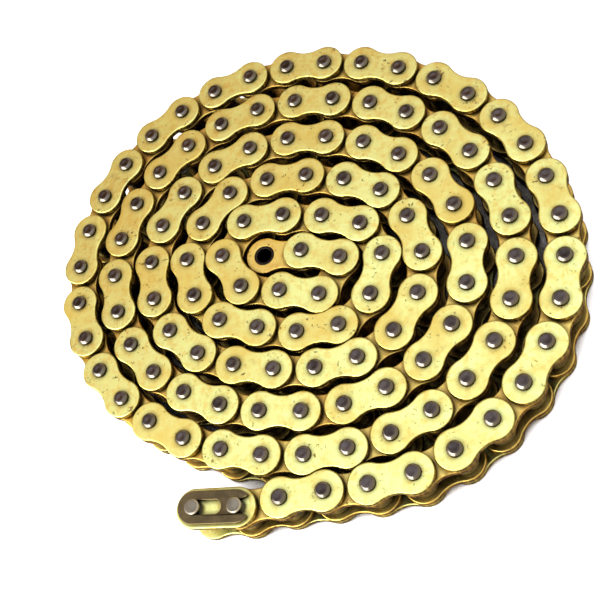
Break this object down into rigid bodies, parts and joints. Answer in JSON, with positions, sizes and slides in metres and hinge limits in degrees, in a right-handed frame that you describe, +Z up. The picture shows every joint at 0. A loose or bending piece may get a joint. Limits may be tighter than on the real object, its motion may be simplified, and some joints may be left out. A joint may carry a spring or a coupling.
{
  "type": "roller drive chain",
  "caption": "Gold-plated motorcycle roller drive chain wound flat into a coil, with a clip-type master link at its free end.",
  "frame": {"origin": "middle of the coil's box, on the plane that the lower pin ends rest on", "axes": "+Z up, along every pin towards the clip side; +X and +Y across the flat coil, the free end lying along the low-Y side and pointing to low X"},
  "size_m": [0.1628, 0.1536, 0.0201],
  "materials": {
    "outer_plate": "gold plating, satin, fine stamping scratches, rounded rim",
    "inner_plate": "deeper gold plating, satin",
    "pin": "bare alloy steel, ground sides, riveted ends",
    "bush": "bare steel, dark, oiled",
    "roller": "bare hardened steel, dark, oiled",
    "clip": "tempered spring steel, brown-olive"
  },
  "bodies": {
    "coil": {"outer_plates_upper": "outer_plate", "outer_plates_lower": "outer_plate", "inner_plates_upper": "inner_plate", "inner_plates_lower": "inner_plate", "pins": "pin", "bushes": "bush", "rollers": "roller"},
    "inner_link_1": {"tail_inner_plates_1": "inner_plate", "tail_bushes_1": "bush"},
    "outer_link_1": {"tail_outer_plates_1": "outer_plate", "tail_pins_1": "pin"},
    "inner_link_2": {"tail_inner_plates_2": "inner_plate", "tail_bushes_2": "bush"},
    "outer_link_2": {"tail_outer_plates_2": "outer_plate", "tail_pins_2": "pin"},
    "inner_link_3": {"tail_inner_plates_3": "inner_plate", "tail_bushes_3": "bush"},
    "outer_link_3": {"tail_outer_plates_3": "outer_plate", "tail_pins_3": "pin"},
    "inner_link_4": {"tail_inner_plates_4": "inner_plate", "tail_bushes_4": "bush"},
    "outer_link_4": {"tail_outer_plates_4": "outer_plate", "tail_pins_4": "pin"},
    "inner_link_5": {"tail_inner_plates_5": "inner_plate", "tail_bushes_5": "bush"},
    "outer_link_5": {"tail_outer_plates_5": "outer_plate", "tail_pins_5": "pin"},
    "inner_link_6": {"tail_inner_plates_6": "inner_plate", "tail_bushes_6": "bush"},
    "master_link": {"master_back_plate": "outer_plate", "master_pins": "pin", "master_front_plate": "outer_plate"},
    "roller_1": {"tail_roller_1": "roller"},
    "roller_2": {"tail_roller_2": "roller"},
    "roller_3": {"tail_roller_3": "roller"},
    "roller_4": {"tail_roller_4": "roller"},
    "roller_5": {"tail_roller_5": "roller"},
    "roller_6": {"tail_roller_6": "roller"},
    "roller_7": {"tail_roller_7": "roller"},
    "roller_8": {"tail_roller_8": "roller"},
    "roller_9": {"tail_roller_9": "roller"},
    "roller_10": {"tail_roller_10": "roller"},
    "roller_11": {"tail_roller_11": "roller"},
    "roller_12": {"tail_roller_12": "roller"},
    "clip": {"spring_clip": "clip"}
  },
  "joints": [
    {"name": "link_joint_1", "type": "hinge", "parent": "coil", "child": "inner_link_1", "pos_m": [0.07526, 0.00353, 0.0094], "axis": [0, 0, 1], "range_deg": [0, 55]},
    {"name": "link_joint_2", "type": "hinge", "parent": "inner_link_1", "child": "outer_link_1", "pos_m": [0.07553, -0.00916, 0.0094], "axis": [0, 0, -1], "range_deg": [-55, 0]},
    {"name": "link_joint_3", "type": "hinge", "parent": "outer_link_1", "child": "inner_link_2", "pos_m": [0.07329, -0.02166, 0.0094], "axis": [0, 0, 1], "range_deg": [0, 55]},
    {"name": "link_joint_4", "type": "hinge", "parent": "inner_link_2", "child": "outer_link_2", "pos_m": [0.0686, -0.03346, 0.0094], "axis": [0, 0, -1], "range_deg": [-55, 0]},
    {"name": "link_joint_5", "type": "hinge", "parent": "outer_link_2", "child": "inner_link_3", "pos_m": [0.06164, -0.04409, 0.0094], "axis": [0, 0, 1], "range_deg": [0, 55]},
    {"name": "link_joint_6", "type": "hinge", "parent": "inner_link_3", "child": "outer_link_3", "pos_m": [0.05274, -0.05315, 0.0094], "axis": [0, 0, -1], "range_deg": [-55, 0]},
    {"name": "link_joint_7", "type": "hinge", "parent": "outer_link_3", "child": "inner_link_4", "pos_m": [0.04229, -0.06037, 0.0094], "axis": [0, 0, 1], "range_deg": [0, 55]},
    {"name": "link_joint_8", "type": "hinge", "parent": "inner_link_4", "child": "outer_link_4", "pos_m": [0.03073, -0.06563, 0.0094], "axis": [0, 0, -1], "range_deg": [-55, 0]},
    {"name": "link_joint_9", "type": "hinge", "parent": "outer_link_4", "child": "inner_link_5", "pos_m": [0.01818, -0.06755, 0.0094], "axis": [0, 0, 1], "range_deg": [0, 55]},
    {"name": "link_joint_10", "type": "hinge", "parent": "inner_link_5", "child": "outer_link_5", "pos_m": [0.0055, -0.06836, 0.0094], "axis": [0, 0, -1], "range_deg": [-55, 0]},
    {"name": "link_joint_11", "type": "hinge", "parent": "outer_link_5", "child": "inner_link_6", "pos_m": [-0.00717, -0.06918, 0.0094], "axis": [0, 0, 1], "range_deg": [0, 55]},
    {"name": "link_joint_12", "type": "hinge", "parent": "inner_link_6", "child": "master_link", "pos_m": [-0.01975, -0.07088, 0.0094], "axis": [0, 0, -1], "range_deg": [-100, 0]},
    {"name": "roller_spin_1", "type": "hinge", "parent": "inner_link_1", "child": "roller_1", "pos_m": [0.07526, 0.00353, 0.0094], "axis": [0, 0, 1], "continuous": true},
    {"name": "roller_spin_2", "type": "hinge", "parent": "inner_link_1", "child": "roller_2", "pos_m": [0.07553, -0.00916, 0.0094], "axis": [0, 0, 1], "continuous": true},
    {"name": "roller_spin_3", "type": "hinge", "parent": "inner_link_2", "child": "roller_3", "pos_m": [0.07329, -0.02166, 0.0094], "axis": [0, 0, 1], "continuous": true},
    {"name": "roller_spin_4", "type": "hinge", "parent": "inner_link_2", "child": "roller_4", "pos_m": [0.0686, -0.03346, 0.0094], "axis": [0, 0, 1], "continuous": true},
    {"name": "roller_spin_5", "type": "hinge", "parent": "inner_link_3", "child": "roller_5", "pos_m": [0.06164, -0.04409, 0.0094], "axis": [0, 0, 1], "continuous": true},
    {"name": "roller_spin_6", "type": "hinge", "parent": "inner_link_3", "child": "roller_6", "pos_m": [0.05274, -0.05315, 0.0094], "axis": [0, 0, 1], "continuous": true},
    {"name": "roller_spin_7", "type": "hinge", "parent": "inner_link_4", "child": "roller_7", "pos_m": [0.04229, -0.06037, 0.0094], "axis": [0, 0, 1], "continuous": true},
    {"name": "roller_spin_8", "type": "hinge", "parent": "inner_link_4", "child": "roller_8", "pos_m": [0.03073, -0.06563, 0.0094], "axis": [0, 0, 1], "continuous": true},
    {"name": "roller_spin_9", "type": "hinge", "parent": "inner_link_5", "child": "roller_9", "pos_m": [0.01818, -0.06755, 0.0094], "axis": [0, 0, 1], "continuous": true},
    {"name": "roller_spin_10", "type": "hinge", "parent": "inner_link_5", "child": "roller_10", "pos_m": [0.0055, -0.06836, 0.0094], "axis": [0, 0, 1], "continuous": true},
    {"name": "roller_spin_11", "type": "hinge", "parent": "inner_link_6", "child": "roller_11", "pos_m": [-0.00717, -0.06918, 0.0094], "axis": [0, 0, 1], "continuous": true},
    {"name": "roller_spin_12", "type": "hinge", "parent": "inner_link_6", "child": "roller_12", "pos_m": [-0.01975, -0.07088, 0.0094], "axis": [0, 0, 1], "continuous": true},
    {"name": "clip_slide", "type": "slide", "parent": "master_link", "child": "clip", "axis": [-0.9992, 0.0401, 0], "range_m": [0, 0.0062]}
  ]
}
